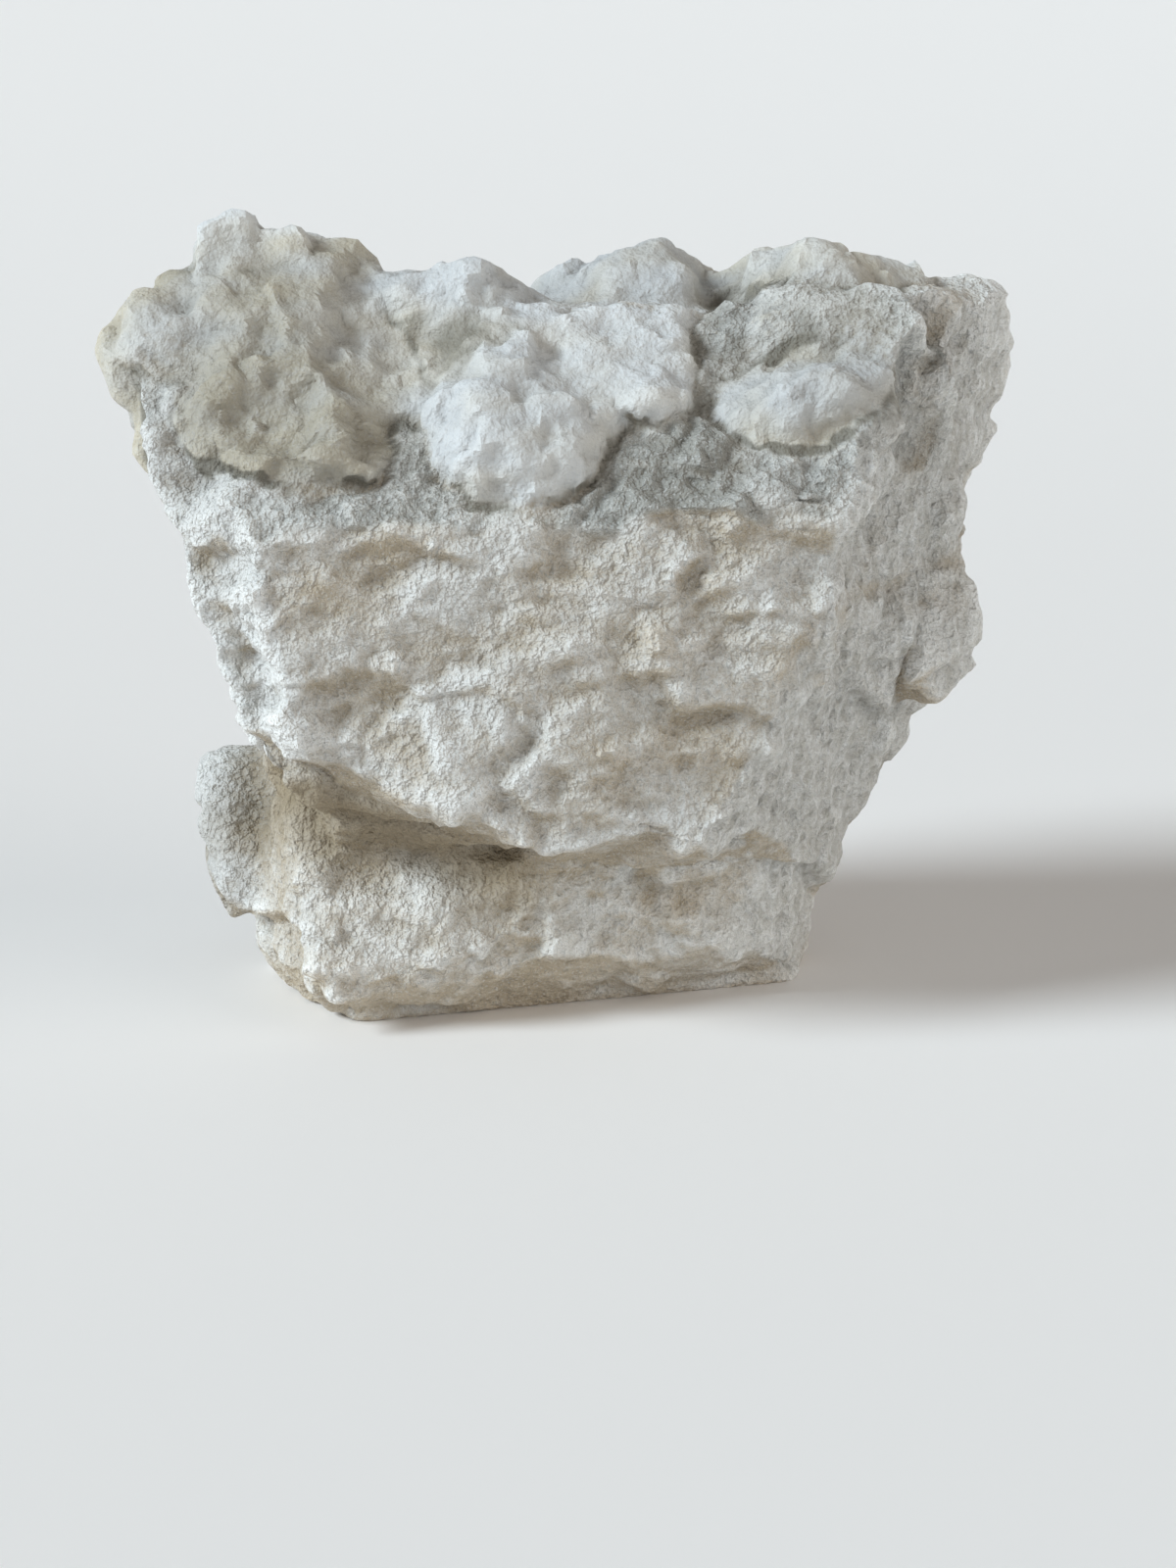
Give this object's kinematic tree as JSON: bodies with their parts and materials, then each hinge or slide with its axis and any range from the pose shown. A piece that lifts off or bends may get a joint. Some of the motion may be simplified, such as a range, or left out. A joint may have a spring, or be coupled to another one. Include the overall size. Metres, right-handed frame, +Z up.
{
  "type": "rough rock",
  "caption": "Rough block of pale carving stone, broken on every side, with a flat front slab over a recessed foot and smooth nodules below a ragged crest.",
  "frame": {"origin": "centre of the rock's outer box in X and Y, on the plane that its broken foot stands on", "axes": "+X to the viewer's right along the longest side, +Y away from the viewer through the thickness, +Z up; the flat slab faces -Y"},
  "size_m": [0.28, 0.152, 0.242],
  "materials": {
    "rock": "matt, sugary fracture with smooth, slightly waxy nodules"
  },
  "bodies": {
    "root": {"rock": "rock"}
  },
  "joints": []
}
